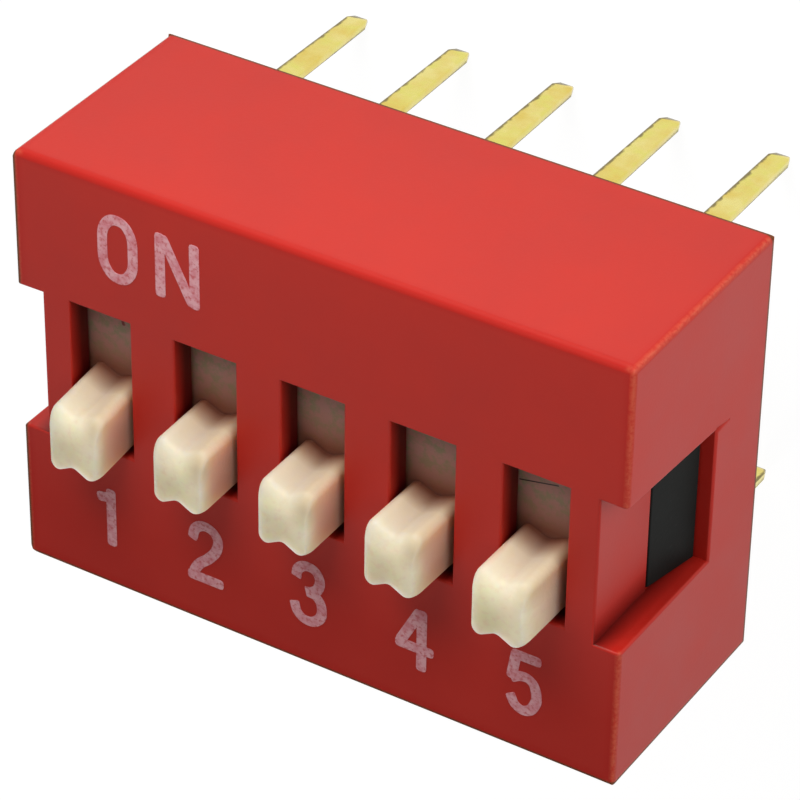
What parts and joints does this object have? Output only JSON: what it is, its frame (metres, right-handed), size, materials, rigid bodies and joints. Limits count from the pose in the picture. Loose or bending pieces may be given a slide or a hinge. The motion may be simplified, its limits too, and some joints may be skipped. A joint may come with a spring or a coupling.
{
  "type": "dip switch",
  "caption": "Slide DIP switch with raised ivory actuators in a red cover, a black snap-in base and gold solder pins in rows.",
  "frame": {"origin": "middle of the pin pattern, on the plane where the body meets the circuit board", "axes": "+Z out of the slotted face, +X along the row from position 1 to 5, +Y towards the ON side"},
  "size_m": [0.0142, 0.01, 0.0108],
  "materials": {
    "cover_plastic": "fine moulded satin, red",
    "base_plastic": "moulded, black",
    "actuator_plastic": "moulded, ivory",
    "contact_metal": "gold-plated spring strip",
    "terminal_metal": "gold-plated stamped strip"
  },
  "bodies": {
    "housing": {"cover": "cover_plastic", "base": "base_plastic", "on_terminal_1": "terminal_metal", "on_terminal_2": "terminal_metal", "on_terminal_3": "terminal_metal", "on_terminal_4": "terminal_metal", "on_terminal_5": "terminal_metal", "number_terminal_1": "terminal_metal", "number_terminal_2": "terminal_metal", "number_terminal_3": "terminal_metal", "number_terminal_4": "terminal_metal", "number_terminal_5": "terminal_metal"},
    "slider_1": {"actuator_1": "actuator_plastic", "moving_contact_1": "contact_metal"},
    "slider_2": {"actuator_2": "actuator_plastic", "moving_contact_2": "contact_metal"},
    "slider_3": {"actuator_3": "actuator_plastic", "moving_contact_3": "contact_metal"},
    "slider_4": {"actuator_4": "actuator_plastic", "moving_contact_4": "contact_metal"},
    "slider_5": {"actuator_5": "actuator_plastic", "moving_contact_5": "contact_metal"}
  },
  "joints": [
    {"name": "slide_1", "type": "slide", "parent": "housing", "child": "slider_1", "axis": [0, 1, 0], "range_m": [0, 0.0015]},
    {"name": "slide_2", "type": "slide", "parent": "housing", "child": "slider_2", "axis": [0, 1, 0], "range_m": [0, 0.0015]},
    {"name": "slide_3", "type": "slide", "parent": "housing", "child": "slider_3", "axis": [0, 1, 0], "range_m": [0, 0.0015]},
    {"name": "slide_4", "type": "slide", "parent": "housing", "child": "slider_4", "axis": [0, 1, 0], "range_m": [0, 0.0015]},
    {"name": "slide_5", "type": "slide", "parent": "housing", "child": "slider_5", "axis": [0, 1, 0], "range_m": [0, 0.0015]}
  ]
}
